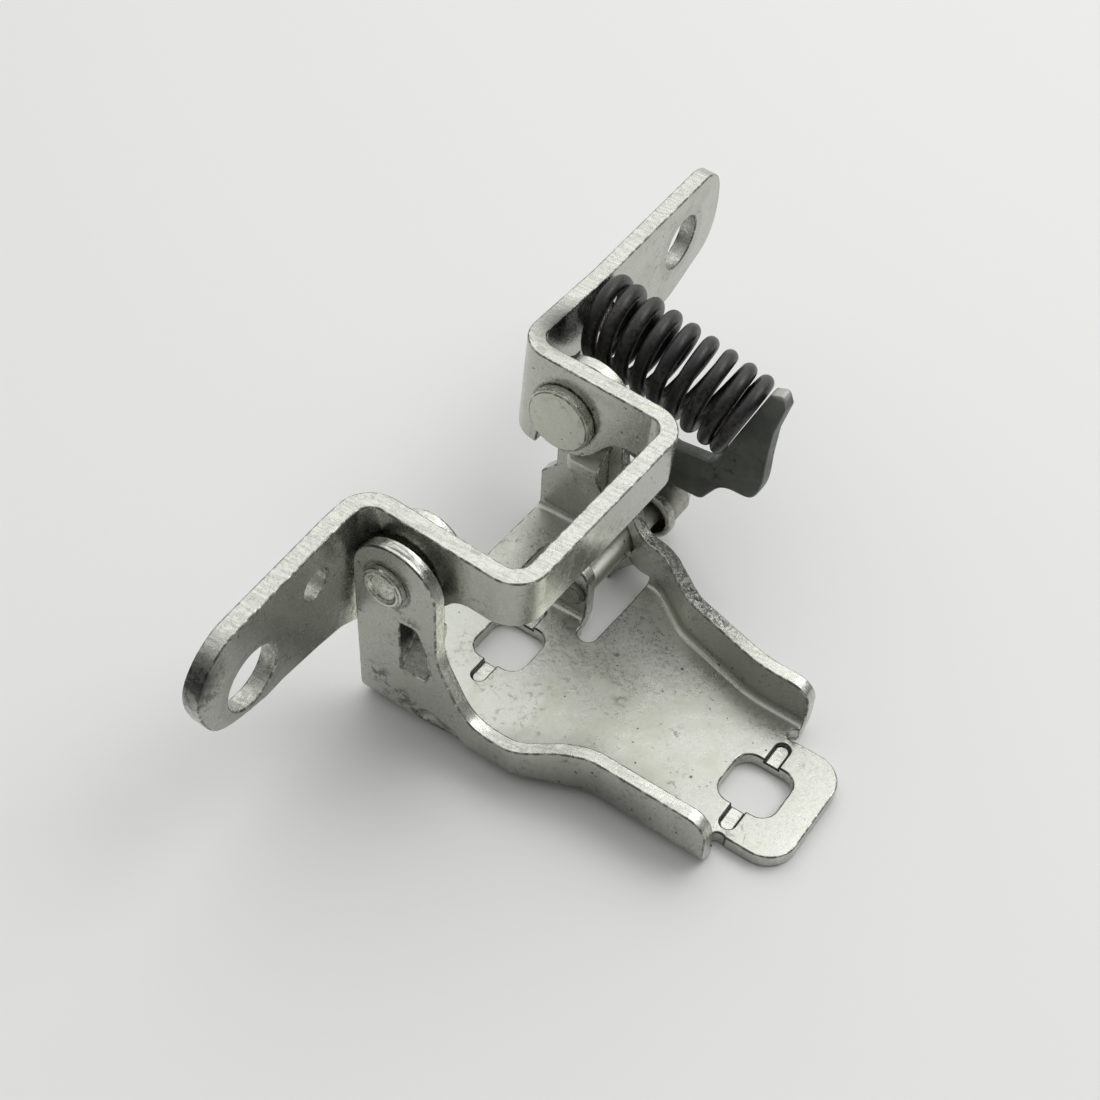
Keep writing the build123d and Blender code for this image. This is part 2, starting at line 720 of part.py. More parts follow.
# Check arm: a plate that runs from its cross pin behind the wing over the roller
ARM_PIVOT = turned(WING_R_X - STRAP_T - ARM_PIN_R - SIDE_PLAY, -15.5)
PX, PZ = ARM_PIVOT
with BuildPart() as check_arm:
    with BuildSketch(side(ARM_Y1)) as arm_outline:
        with BuildLine():
            Polyline(
                (PX, PZ - ARM_EYE_R),
                (PX + 6, PZ - ARM_EYE_R),
                (16.0, 20.4),
                (24.0, 19.7),
                (32.4, 19.9),
            )
            Spline(
                (32.4, 19.9),
                (34.4, 23.6),
                (37.5, 27.6),
                (41.5, 28.8),
                (46.4, 29.3),
                (48.9, 33.2),
                (49.7, 43.0),
                (50.2, 55.6),
                tangents=[(0.3, 1), (0.05, 1)],
            )
            Polyline(
                (50.2, 55.6),
                (52.4, 65.2),
                (50.8, 68.9),
                (47.1, 67.5),
                (35.1, 37.4),
                (32.6, 35.2),
                (22.0, 34.0),
                (PX + 6, PZ + ARM_EYE_R),
                (PX, PZ + ARM_EYE_R),
            )
            ThreePointArc(
                (PX, PZ + ARM_EYE_R), (PX - ARM_EYE_R, PZ), (PX, PZ - ARM_EYE_R)
            )
        make_face()
        fillet(
            arm_outline.vertices().filter_by(lambda v: v.Y > 60),
            radius=1.2,
        )
        fillet(
            arm_outline.vertices().sort_by_distance(Vector(32.4, 19.9))[0],
            radius=3.0,
        )
        with Locations((PX, PZ)):
            Circle(ARM_PIN_R, mode=Mode.SUBTRACT)
    extrude(amount=ARM_T)
check_arm.part.label = "check_arm"

with BuildPart() as arm_cross_pin:
    with BuildSketch(side((ARM_Y0 + ARM_Y1) / 2 + ARM_PIN_HALF)):
        with Locations((PX, PZ)):
            Circle(ARM_PIN_R)
    extrude(amount=2 * ARM_PIN_HALF)
    chamfer(arm_cross_pin.edges().filter_by(GeomType.CIRCLE), length=0.4)
arm_cross_pin.part.label = "arm_cross_pin"

# Roller group on its axle
with BuildPart() as roller_axle:
    with BuildSketch(side(LANCE_Y - 1.6)):
        with Locations((ROLLER_X, ROLLER_Z)):
            Circle(AXLE_R)
    extrude(amount=-(ROLLER_Y1 - LANCE_Y + 1.6 + 1.9))
    with BuildSketch(side(ROLLER_Y1 + 1.9)):
        with Locations((ROLLER_X, ROLLER_Z)):
            Circle(AXLE_R + 1.0)
    extrude(amount=-2.0)
    chamfer(roller_axle.edges().group_by(Axis.Y)[-1], length=0.5)
    chamfer(roller_axle.edges().group_by(Axis.Y)[0], length=0.5)
roller_axle.part.label = "roller_axle"

with BuildPart() as check_roller:
    with BuildSketch(side(ROLLER_Y0)):
        with Locations((ROLLER_X, ROLLER_Z)):
            Circle(RING_R)
    extrude(amount=-ROLLER_RING)
    with BuildSketch(side(ROLLER_Y0 + ROLLER_RING)):
        with Locations((ROLLER_X, ROLLER_Z)):
            Circle(DRUM_R)
    extrude(amount=-(ROLLER_Y1 - ROLLER_Y0 - ROLLER_RING))
    fillet(check_roller.edges().group_by(Axis.Y)[-1], radius=0.6)
    fillet(check_roller.edges().group_by(Axis.Y)[0], radius=0.9)
    with BuildSketch(side(ROLLER_Y0)):
        with Locations((ROLLER_X, ROLLER_Z)):
            Circle(ROLLER_HOLLOW_R)
    extrude(amount=-ROLLER_HOLLOW_DEPTH, mode=Mode.SUBTRACT)
    with BuildSketch(side(ROLLER_Y0)):
        with Locations((ROLLER_X, ROLLER_Z)):
            Circle(ROLLER_BUSH_R)
    extrude(amount=-(ROLLER_Y1 - ROLLER_Y0), mode=Mode.SUBTRACT)
check_roller.part.label = "check_roller"

with BuildPart() as roller_bush:
    with BuildSketch(side(ROLLER_Y0 + ROLLER_HOLLOW_DEPTH)):
        with Locations((ROLLER_X, ROLLER_Z)):
            Circle(ROLLER_BUSH_R)
            Circle(AXLE_R + RUN_FIT, mode=Mode.SUBTRACT)
    extrude(amount=-(ROLLER_Y1 - ROLLER_Y0 - ROLLER_HOLLOW_DEPTH))
roller_bush.part.label = "roller_bush"

with BuildPart() as end_washer:
    with BuildSketch(side(ROLLER_Y1 + 0.3)):
        with Locations((ROLLER_X, ROLLER_Z)):
            Circle(AXLE_R + 2.6)
            Circle(AXLE_R, mode=Mode.SUBTRACT)
    extrude(amount=-1.5)
end_washer.part.label = "end_washer"

# Coil spring between the wing and the hooked end of the arm, its last turn leaning like the seat
def spring_point(turn):
    """Centre of the wire after this many turns, counted from the wing end."""
    middle = SPRING_TURNS - 2
    length = SPRING_END[0] - SPRING_START[0]
    pitch = (length - 2 * END_PITCH) / middle
    if turn < 1:
        run = END_PITCH * turn
    elif turn < 1 + middle:
        run = END_PITCH + pitch * (turn - 1)
    else:
        run = END_PITCH + pitch * middle + END_PITCH * (turn - 1 - middle)
    share = run / length
    tilt = radians(REST_TURN + (SEAT_LEAN - REST_TURN) * share)
    phase = 2 * pi * turn + radians(SPRING_PHASE)
    across = COIL_R * cos(phase)
    up = COIL_R * sin(phase)
    return (
        SPRING_START[0] + run + up * sin(tilt),
        SPRING_START[1] + (SPRING_END[1] - SPRING_START[1]) * share + across,
        SPRING_START[2] + (SPRING_END[2] - SPRING_START[2]) * share + up * cos(tilt),
    )


STEPS_PER_TURN = 12
with BuildPart() as check_spring:
    with BuildLine() as spring_line:
        Spline(
            *[
                spring_point(i / STEPS_PER_TURN)
                for i in range(round(SPRING_TURNS * STEPS_PER_TURN) + 1)
            ]
        )
    with BuildSketch(
        Plane(origin=spring_line.line @ 0, z_dir=spring_line.line % 0)
    ):
        Circle(WIRE_R)
    sweep(is_frenet=True)
check_spring.part.label = "check_spring"

export_step(base_bracket.part, "parts/base_bracket.step")
export_step(strap.part, "parts/strap.step")
export_step(head_spacer_left.part, "parts/head_spacer_left.step")
export_step(pivot_pin_left.part, "parts/pivot_pin_left.step")
export_step(pivot_pin_right.part, "parts/pivot_pin_right.step")
export_step(bush_left, "parts/bush_left.step")
export_step(bush_right, "parts/bush_right.step")
export_step(washer_left, "parts/washer_left.step")
export_step(washer_right, "parts/washer_right.step")
export_step(check_arm.part, "parts/check_arm.step")
export_step(arm_cross_pin.part, "parts/arm_cross_pin.step")
export_step(roller_axle.part, "parts/roller_axle.step")
export_step(check_roller.part, "parts/check_roller.step")
export_step(roller_bush.part, "parts/roller_bush.step")
export_step(end_washer.part, "parts/end_washer.step")
export_step(check_spring.part, "parts/check_spring.step")
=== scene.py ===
"""Looks of a truck door hinge: plated sheets, dark check arm, black spring, worn edges."""

import json
import math

import bmesh
import bpy
from bpy.props import FloatProperty, FloatVectorProperty, IntProperty, PointerProperty
from mathutils import Matrix, Vector
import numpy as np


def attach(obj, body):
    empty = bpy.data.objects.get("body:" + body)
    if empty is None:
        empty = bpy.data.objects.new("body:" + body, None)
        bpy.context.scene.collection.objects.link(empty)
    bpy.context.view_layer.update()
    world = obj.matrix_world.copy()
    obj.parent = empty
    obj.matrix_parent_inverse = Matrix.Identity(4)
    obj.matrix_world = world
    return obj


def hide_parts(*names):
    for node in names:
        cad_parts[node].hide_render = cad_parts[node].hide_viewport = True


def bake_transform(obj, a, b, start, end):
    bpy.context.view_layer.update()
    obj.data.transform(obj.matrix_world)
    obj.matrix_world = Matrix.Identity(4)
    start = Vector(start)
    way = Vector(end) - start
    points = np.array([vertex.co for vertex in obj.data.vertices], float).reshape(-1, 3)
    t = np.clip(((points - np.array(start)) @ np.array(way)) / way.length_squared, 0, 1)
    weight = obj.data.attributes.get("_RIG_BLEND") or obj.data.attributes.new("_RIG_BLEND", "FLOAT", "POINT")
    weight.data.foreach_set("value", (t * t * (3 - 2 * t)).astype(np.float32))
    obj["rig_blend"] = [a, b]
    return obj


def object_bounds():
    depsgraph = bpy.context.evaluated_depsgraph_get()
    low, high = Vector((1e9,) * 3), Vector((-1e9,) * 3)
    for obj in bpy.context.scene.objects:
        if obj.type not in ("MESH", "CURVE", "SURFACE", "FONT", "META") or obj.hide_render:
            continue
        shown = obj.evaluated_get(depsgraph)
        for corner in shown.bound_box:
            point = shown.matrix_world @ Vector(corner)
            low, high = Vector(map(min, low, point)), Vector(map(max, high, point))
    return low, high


bl_info = {
    "name": "Truck door hinge",
    "version": (1, 0, 0),
    "blender": (4, 5, 0),
    "location": "View3D > Sidebar > Door hinge",
    "description": "Dresses the packed parts of a truck door hinge with a spring-loaded check",
    "category": "Object",
}

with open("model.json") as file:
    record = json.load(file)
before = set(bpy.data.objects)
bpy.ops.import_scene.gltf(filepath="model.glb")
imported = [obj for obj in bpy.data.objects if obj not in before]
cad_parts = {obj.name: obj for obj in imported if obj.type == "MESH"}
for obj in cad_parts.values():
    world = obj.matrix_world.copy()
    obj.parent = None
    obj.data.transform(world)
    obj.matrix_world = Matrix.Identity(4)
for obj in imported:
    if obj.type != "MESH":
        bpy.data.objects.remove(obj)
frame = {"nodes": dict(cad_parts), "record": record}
CAD_BOX = [list(corner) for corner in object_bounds()]
NODES = frame["nodes"]
BODY_OF = {
    node: body
    for body, nodes in frame["record"]["behaviour"]["bodies"].items()
    for node in nodes
}

MM = 0.001
SPRING_ON_WING = (-0.0102, 0.073, 0.058)
SPRING_ON_ARM = (0.0407, 0.065, 0.0546)
WASHER_MARK_AND_SHADE_DARK = (0.05, 0.052, 0.045)  # dark of washer marks, and painted shade around heads and along groove edges
SHADE_AND_SPOT_DARK = (0.03, 0.032, 0.028)  # painted shade in hollows and corners, and dark spots
PIT = (0.02, 0.02, 0.018)
NICK_AND_SHADE_EDGE = (0.09, 0.093, 0.08)  # nicked plating on a rounded edge, and painted shade of its burr
PAINTED_REFLECTION_BAND = (0.07, 0.072, 0.07)  # painted dark reflection bands on burnished cut faces
REFLECTION_BAND_SIZE = (0.016, 0.0011, 0.016)
BARE_STEEL = (0.46, 0.465, 0.43)
RUBBED_PHOSPHATE = (0.30, 0.305, 0.28)
CUT_STRIP = 2.7  # a strip with less area per length of border, in millimetres, is a cut face


# Shared node groups and small helpers for materials


def new_group(name, inputs, outputs):
    """An empty shader node group with these sockets."""
    tree = bpy.data.node_groups.new(name, "ShaderNodeTree")
    for label, kind, value in inputs:
        socket = tree.interface.new_socket(
            name=label, in_out="INPUT", socket_type=kind
        )
        socket.default_value = value
    for label, kind in outputs:
        tree.interface.new_socket(name=label, in_out="OUTPUT", socket_type=kind)
    source = tree.nodes.new("NodeGroupInput")
    sink = tree.nodes.new("NodeGroupOutput")
    return tree, source, sink


def math_node(tree, operation, first, second=None, clamp=False):
    """A Math node with its inputs linked or set, and its output."""
    node = tree.nodes.new("ShaderNodeMath")
    node.operation = operation
    node.use_clamp = clamp
    for slot, value in zip(node.inputs, (first, second)):
        if value is None:
            continue
        if isinstance(value, (int, float)):
            slot.default_value = value
        else:
            tree.links.new(value, slot)
    return node.outputs[0]


def times(tree, first, second):
    """The product of two values."""
    return math_node(tree, "MULTIPLY", first, second)


def noise_node(tree, vector, scale, detail=3.0, rough=0.5, distortion=0.0):
    """A Noise texture in object space."""
    node = tree.nodes.new("ShaderNodeTexNoise")
    tree.links.new(vector, node.inputs["Vector"])
    for label, value in (
        ("Scale", scale),
        ("Detail", detail),
        ("Roughness", rough),
        ("Distortion", distortion),
    ):
        if isinstance(value, (int, float)):
            node.inputs[label].default_value = value
        else:
            tree.links.new(value, node.inputs[label])
    return node.outputs["Fac"]


def range_node(tree, value, low, high, to_low=0.0, to_high=1.0):
    """A clamped Map Range node."""
    node = tree.nodes.new("ShaderNodeMapRange")
    node.clamp = True
    tree.links.new(value, node.inputs["Value"])
    for label, number in (
        ("From Min", low),
        ("From Max", high),
        ("To Min", to_low),
        ("To Max", to_high),
    ):
        if isinstance(number, (int, float)):
            node.inputs[label].default_value = number
        else:
            tree.links.new(number, node.inputs[label])
    return node.outputs["Result"]


def mix_color(tree, factor, first, second):
    """A colour Mix node; each colour is a socket or an RGB tuple."""
    node = tree.nodes.new("ShaderNodeMix")
    node.data_type = "RGBA"
    node.clamp_factor = True
    if isinstance(factor, (int, float)):
        node.inputs["Factor"].default_value = factor
    else:
        tree.links.new(factor, node.inputs["Factor"])
    for slot, value in ((node.inputs[6], first), (node.inputs[7], second)):
        if isinstance(value, (tuple, list)):
            slot.default_value = (*value[:3], 1.0)
        else:
            tree.links.new(value, slot)
    return node.outputs[2]


def near_node(tree, place, center, inner, outer):
    """A mask that is 1 within the inner distance of a point and 0 beyond the outer, in mm."""
    far = tree.nodes.new("ShaderNodeVectorMath")
    far.operation = "DISTANCE"
    tree.links.new(place, far.inputs[0])
    far.inputs[1].default_value = tuple(c * MM for c in center)
    return range_node(
        tree, far.outputs["Value"], inner * MM, outer * MM, 1.0, 0.0
    )


def spot(tree, place, center, inner, outer, strength):
    """A soft round mask of this strength."""
    return times(tree, near_node(tree, place, center, inner, outer), strength)


def slab_node(tree, place, low, high):
    """A mask that is 1 between two places along Y, in mm, with soft ends of 0.5 mm."""
    parts = tree.nodes.new("ShaderNodeSeparateXYZ")
    tree.links.new(place, parts.inputs[0])
    across = parts.outputs["Y"]
    above = range_node(tree, across, (low - 0.25) * MM, (low + 0.25) * MM)
    below = range_node(tree, across, (high - 0.25) * MM, (high + 0.25) * MM, 1.0, 0.0)
    return times(tree, above, below)


def streak_node(tree, place, turn, scale, low, high):
    """Thin lines that run one way, from a stretched noise."""
    stretch = tree.nodes.new("ShaderNodeMapping")
    stretch.vector_type = "TEXTURE"
    tree.links.new(place, stretch.inputs["Vector"])
    stretch.inputs["Rotation"].default_value = turn
    stretch.inputs["Scale"].default_value = scale
    return range_node(
        tree, noise_node(tree, stretch.outputs[0], 1.0, 2.0, 0.5), low, high
    )


def plating_group():
    """Zinc plate as masks: broad clouds, fine grain, stains, grime, pits and scratches."""
    tree, source, sink = new_group(
        "plating",
        [
            ("Cloud Scale", "NodeSocketFloat", 40.0),
            ("Grain Scale", "NodeSocketFloat", 900.0),
            ("Pit Limit", "NodeSocketFloat", 0.70),
        ],
        [
            ("Clouds", "NodeSocketFloat"),
            ("Grain", "NodeSocketFloat"),
            ("Stain", "NodeSocketFloat"),
            ("Grime", "NodeSocketFloat"),
            ("Pits", "NodeSocketFloat"),
            ("Scratches", "NodeSocketFloat"),
            ("Waves", "NodeSocketFloat"),
        ],
    )
    place = tree.nodes.new("ShaderNodeTexCoord").outputs["Object"]
    clouds = noise_node(tree, place, source.outputs["Cloud Scale"], 5.0, 0.6, 0.5)
    grain = noise_node(tree, place, source.outputs["Grain Scale"], 4.0, 0.7)
    stain = range_node(tree, noise_node(tree, place, 48.0, 5.0, 0.65, 1.2), 0.50, 0.66)
    patches = range_node(tree, noise_node(tree, place, 95.0, 3.0, 0.6), 0.50, 0.62)
    flecks = range_node(tree, noise_node(tree, place, 520.0, 4.0, 0.7, 0.5), 0.52, 0.64)
    grime = math_node(tree, "MULTIPLY", patches, flecks, clamp=True)
    dots = noise_node(tree, place, 760.0, 1.0, 0.4)
    high = math_node(tree, "ADD", source.outputs["Pit Limit"], 0.05)
    pits = range_node(tree, dots, source.outputs["Pit Limit"], high)
    lines = math_node(
        tree,
        "MAXIMUM",
        streak_node(tree, place, (0.4, 0.3, 0.9), (0.030, 0.0009, 0.0009), 0.66, 0.72),
        streak_node(tree, place, (0.2, 0.5, 2.3), (0.022, 0.0007, 0.0007), 0.68, 0.74),
    )
    scratches = math_node(
        tree,
        "MULTIPLY",
        lines,
        range_node(tree, noise_node(tree, place, 75.0, 3.0, 0.6), 0.48, 0.60),
        clamp=True,
    )
    waves = noise_node(tree, place, 130.0, 3.0, 0.55)
    for label, value in (
        ("Clouds", clouds),
        ("Grain", grain),
        ("Stain", stain),
        ("Grime", grime),
        ("Pits", pits),
        ("Scratches", scratches),
        ("Waves", waves),
    ):
        tree.links.new(value, sink.inputs[label])
    return tree


def edge_group():
    """Masks for cut faces, rounded edges, torn patches and the lines of the shear."""
    tree, source, sink = new_group(
        "sheared_edge",
        [("Tear Scale", "NodeSocketFloat", 260.0)],
        [
            ("Cut", "NodeSocketFloat"),
            ("Edge", "NodeSocketFloat"),
            ("Tear", "NodeSocketFloat"),
            ("Shear", "NodeSocketFloat"),
        ],
    )
    marked = tree.nodes.new("ShaderNodeAttribute")
    marked.attribute_name = "sheared"
    place = tree.nodes.new("ShaderNodeTexCoord").outputs["Object"]
    ripple = noise_node(tree, place, source.outputs["Tear Scale"], 6.0, 0.8, 0.3)
    chips = noise_node(tree, place, 150.0, 5.0, 0.6)
    cut = range_node(tree, marked.outputs["Fac"], 0.2, 0.45)
    edge = range_node(tree, marked.outputs["Fac"], 0.6, 0.9)
    rough_part = math_node(
        tree,
        "MAXIMUM",
        range_node(tree, ripple, 0.48, 0.62, 0.0, 0.6),
        range_node(tree, chips, 0.64, 0.67),
    )
    tear = times(tree, cut, rough_part)
    tree.links.new(cut, sink.inputs["Cut"])
    tree.links.new(edge, sink.inputs["Edge"])
    tree.links.new(tear, sink.inputs["Tear"])
    lines = streak_node(tree, place, (0.0, 0.0, 0.12), (0.008, 0.0007, 0.004), 0.44, 0.60)
    tree.links.new(times(tree, cut, lines), sink.inputs["Shear"])
    return tree


GROUPS = {}


def group_node(tree, name, **values):
    """Places a shared node group in a material with its own values."""
    node = tree.nodes.new("ShaderNodeGroup")
    node.node_tree = GROUPS[name]
    for label, value in values.items():
        node.inputs[label.replace("_", " ")].default_value = value
    return node


def start_material(name):
    """A material with a Principled shader and nothing else."""
    material = bpy.data.materials.new(name)
    material.use_nodes = True
    tree = material.node_tree
    shader = tree.nodes["Principled BSDF"]
    return material, tree, shader


def bump_into(tree, shader, height, strength, distance):
    """A Bump node that feeds the shader's normal."""
    bump = tree.nodes.new("ShaderNodeBump")
    bump.inputs["Strength"].default_value = strength
    bump.inputs["Distance"].default_value = distance
    tree.links.new(height, bump.inputs["Height"])
    tree.links.new(bump.outputs["Normal"], shader.inputs["Normal"])


def blotch(tree, masks, color, label, amount, paint):
    """Mixes a paint over a colour where a mask of a shared group says so."""
    return mix_color(tree, times(tree, masks.outputs[label], amount), color, paint)


def wear_and_painted_shade(tree, place, color, nicks, edge, deep, marks, rings, shades, shade_rims):
    """Paints dents, washer rings, and painted shade in hollows, around heads and on rims, over a colour."""
    for center, inner, outer, strength in marks:
        dents = times(
            tree,
            near_node(tree, place, center, inner, outer),
            range_node(tree, nicks, 0.50, 0.56, 0.0, strength),
        )
        color = mix_color(tree, dents, color, deep)
    # Rings: rubbed washer marks on the wings, painted shadow around the pivot pin heads and painted shade
    # around the rivet head.
    for center, inner, outer, strength in rings:
        ring = times(
            tree,
            near_node(tree, place, center, outer - 0.6, outer),
            math_node(
                tree, "SUBTRACT", 1.0, near_node(tree, place, center, inner, inner + 0.8)
            ),
        )
        worn = range_node(tree, nicks, 0.40, 0.60, 0.4 * strength, strength)
        color = mix_color(tree, times(tree, ring, worn), color, WASHER_MARK_AND_SHADE_DARK)
    # Painted shade in hollows and corners, and a few dark spots on the web; an optional Y slab keeps it off
    # nearby faces.
    for center, inner, outer, strength, *slab in shades:
        shade = spot(tree, place, center, inner, outer, strength)
        if slab:
            shade = times(tree, shade, slab_node(tree, place, *slab))
        color = mix_color(tree, shade, color, SHADE_AND_SPOT_DARK)
    # Painted shade along edges, at the coined grooves.
    for rim in shade_rims:
        shade = times(tree, spot(tree, place, *rim), edge.outputs["Edge"])
        color = mix_color(tree, shade, color, WASHER_MARK_AND_SHADE_DARK)
    return color


def plated_sheet(
    name, light, dark, tint, rough,
    marks=(), rings=(), shades=(), shade_rims=(), rubbed=(), torn=1.0,
):
    """Bright zinc plate on folded sheet, with brighter, torn cut edges.

    Marks are places with dark dents, and on a wing's cut end a painted dark reflection; rings
    are places rubbed by a washer or painted shadow around a head; shades are painted shade in
    hollows and corners, with a few dark spots; shade rims are places with painted shade on edges;
    and rubbed are places burnished by use, with painted dark reflection bands: each is a centre
    and two radii in millimetres, and a strength.
    """
    material, tree, shader = start_material(name)
    place = tree.nodes.new("ShaderNodeTexCoord").outputs["Object"]
    plate = group_node(tree, "plating", Cloud_Scale=26.0, Pit_Limit=0.74)
    edge = group_node(tree, "sheared_edge", Tear_Scale=700.0)
    nicks = noise_node(tree, place, 420.0, 4.0, 0.7)
    deep = tuple(channel * 0.34 for channel in dark)
    bright = tuple(min(1.0, channel * 1.22) for channel in light)

    color = mix_color(
        tree, range_node(tree, plate.outputs["Clouds"], 0.30, 0.70), dark, light
    )
    color = blotch(tree, plate, color, "Stain", 0.45, tint)
    grainy = range_node(tree, plate.outputs["Grain"], 0.42, 0.62, 0.0, 0.30)
    color = mix_color(tree, grainy, color, bright)
    color = blotch(tree, plate, color, "Grime", 0.48, deep)
    color = blotch(tree, plate, color, "Pits", 0.85, PIT)
    color = blotch(tree, plate, color, "Scratches", 0.55, bright)
    color = blotch(tree, edge, color, "Cut", 0.70, bright)
    color = blotch(tree, edge, color, "Tear", 0.26 * torn, deep)
    color = blotch(tree, edge, color, "Shear", 0.21, deep)
    # Darker rounded edges: nicked plating, and painted shade of the burrs.
    nicked_and_shaded_edge = times(
        tree, edge.outputs["Edge"], range_node(tree, nicks, 0.42, 0.54, 0.1, 0.8)
    )
    color = mix_color(tree, nicked_and_shaded_edge, color, NICK_AND_SHADE_EDGE)
    color = wear_and_painted_shade(
        tree, place, color, nicks, edge, deep, marks, rings, shades, shade_rims
    )
    smooth = times(tree, edge.outputs["Cut"], rough - 0.16)
    for center, inner, outer, strength in rubbed:
        worn = times(
            tree, spot(tree, place, center, inner, outer, strength), edge.outputs["Cut"]
        )
        # Painted dark reflection bands across the burnished cut faces, which are also made smoother.
        bands = streak_node(tree, place, (0.0, 0.0, 0.0), REFLECTION_BAND_SIZE, 0.50, 0.60)
        painted_reflection_bands = times(tree, worn, times(tree, bands, 0.8))
        color = mix_color(tree, painted_reflection_bands, color, PAINTED_REFLECTION_BAND)
        smooth = math_node(tree, "ADD", smooth, times(tree, worn, 0.08))
    tree.links.new(color, shader.inputs["Base Color"])

    grain = range_node(tree, plate.outputs["Grain"], 0.35, 0.65, rough - 0.05, rough + 0.07)
    matt = math_node(
        tree,
        "ADD",
        times(tree, edge.outputs["Tear"], 0.25),
        times(tree, plate.outputs["Stain"], 0.12),
    )
    roughness = math_node(tree, "ADD", math_node(tree, "SUBTRACT", grain, smooth), matt)
    tree.links.new(roughness, shader.inputs["Roughness"])
    shader.inputs["Metallic"].default_value = 0.9
    raised = math_node(
        tree,
        "ADD",
        times(tree, plate.outputs["Grain"], 0.45),
        times(tree, plate.outputs["Waves"], 0.9),
    )
    sunk = math_node(
        tree,
        "ADD",
        times(tree, edge.outputs["Tear"], 0.8 * torn),
        times(tree, plate.outputs["Grime"], 0.4),
    )
    bump_into(tree, shader, math_node(tree, "SUBTRACT", raised, sunk), 0.8, 0.0001)
    return material


def phosphate_plate(name, dark, light, rough, bare):
    """Dark grey phosphate on the check arm, dusty, and rubbed bare on its edges and tip."""
    material, tree, shader = start_material(name)
    place = tree.nodes.new("ShaderNodeTexCoord").outputs["Object"]
    plate = group_node(tree, "plating", Cloud_Scale=60.0)
    color = mix_color(
        tree, range_node(tree, plate.outputs["Clouds"], 0.40, 0.66), dark, light
    )
    color = blotch(tree, plate, color, "Grime", 0.7, (0.012, 0.012, 0.011))
    color = blotch(tree, plate, color, "Scratches", 0.4, (0.22, 0.22, 0.20))
    edge = group_node(tree, "sheared_edge", Tear_Scale=300.0)
    rub = math_node(
        tree,
        "ADD",
        times(tree, edge.outputs["Edge"], 0.5),
        times(tree, edge.outputs["Tear"], 0.30),
    )
    color = mix_color(tree, rub, color, RUBBED_PHOSPHATE)
    color = mix_color(tree, spot(tree, place, *bare), color, BARE_STEEL)
    tree.links.new(color, shader.inputs["Base Color"])
    tree.links.new(
        range_node(tree, plate.outputs["Grain"], 0.35, 0.65, rough - 0.1, rough + 0.1),
        shader.inputs["Roughness"],
    )
    shader.inputs["Metallic"].default_value = 0.6
    bump_into(tree, shader, plate.outputs["Grain"], 0.5, 0.00006)
    return material


def spring_black(name, dark, rubbed, rough):
    """Black coating on spring wire, rubbed to brown-grey in random patches."""
    material, tree, shader = start_material(name)
    plate = group_node(tree, "plating", Cloud_Scale=70.0)
    rub = math_node(
        tree,
        "MULTIPLY",
        range_node(tree, plate.outputs["Clouds"], 0.44, 0.60),
        range_node(tree, plate.outputs["Grain"], 0.42, 0.60),
    )
    tree.links.new(
        mix_color(tree, times(tree, rub, 0.6), dark, rubbed),
        shader.inputs["Base Color"],
    )
    tree.links.new(
        range_node(tree, plate.outputs["Grain"], 0.35, 0.65, rough - 0.1, rough + 0.12),
        shader.inputs["Roughness"],
    )
    shader.inputs["Metallic"].default_value = 0.0
    bump_into(tree, shader, plate.outputs["Grain"], 0.4, 0.00005)
    return material


MATERIALS = {}

# Worn places, painted shade and painted dark reflections, in millimetres: a centre, two radii
# and a strength. A hollow in an ear also has two places along Y, which keep its painted shade off
# the faces on both sides.
EAR_DENTS = (
    ((-4.0, -34.5, 13.0), 2.0, 5.5, 0.9),
    ((1.0, -34.5, 10.0), 2.0, 5.5, 0.9),
    ((6.0, -34.5, 7.0), 2.0, 5.0, 0.8),
    ((2.0, -34.5, 42.0), 1.0, 4.5, 0.9),
    ((7.0, -34.5, 40.0), 1.0, 4.5, 0.8),
    ((47.1, 1.8, 4.0), 0.8, 3.0, 0.6),
    ((64.4, 1.5, 4.0), 0.8, 3.4, 0.6),
    ((51.0, 10.0, 4.0), 3.0, 10.0, 0.2),
    ((33.0, 6.0, 4.0), 3.0, 9.0, 0.2),
)
WING_DENTS_AND_DARK_REFLECTION = (
    # Painted dark reflection on the left wing's cut end; the other two are dents.
    ((-10.0, -89.5, 58.0), 5.0, 11.0, 0.8),
    ((-18.0, 150.0, 60.0), 3.0, 9.0, 0.4),
    ((-12.0, -60.0, 40.0), 1.0, 7.0, 0.4),
)
